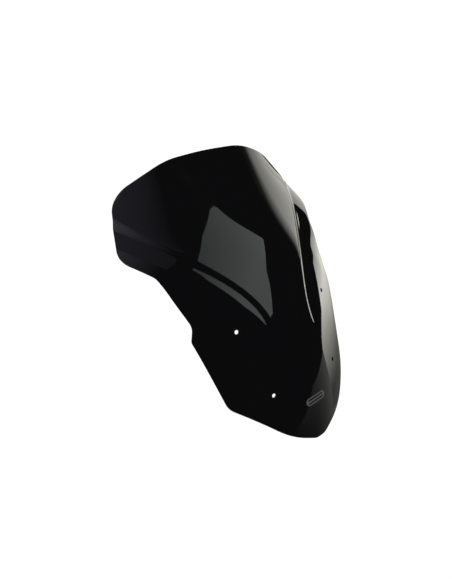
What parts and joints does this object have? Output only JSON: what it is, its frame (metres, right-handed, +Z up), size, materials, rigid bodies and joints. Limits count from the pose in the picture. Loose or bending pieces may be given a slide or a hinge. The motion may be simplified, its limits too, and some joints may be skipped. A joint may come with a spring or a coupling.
{
  "type": "motorcycle windshield screen",
  "caption": "Formed opaque acrylic windshield screen with a raised centre panel, stepped creases, swept wings and mounting holes backed by rubber washers.",
  "frame": {"origin": "midpoint between the outer ends of the two upper mounting holes, on the plane of symmetry", "axes": "+Z up as mounted, -Y to the front of the motorcycle, +X across; the chord from nose tip to top edge leans back, 58 degrees above the horizontal"},
  "size_m": [0.423, 0.3076, 0.4348],
  "materials": {
    "acrylic": "polished opaque black acrylic",
    "mark_film": "satin grey badge film",
    "washer_rubber": "matte black rubber"
  },
  "bodies": {
    "root": {"screen_panel": "acrylic", "front_mark": "mark_film", "washer_upper_left": "washer_rubber", "washer_upper_right": "washer_rubber", "washer_lower_left": "washer_rubber", "washer_lower_right": "washer_rubber"}
  },
  "joints": []
}
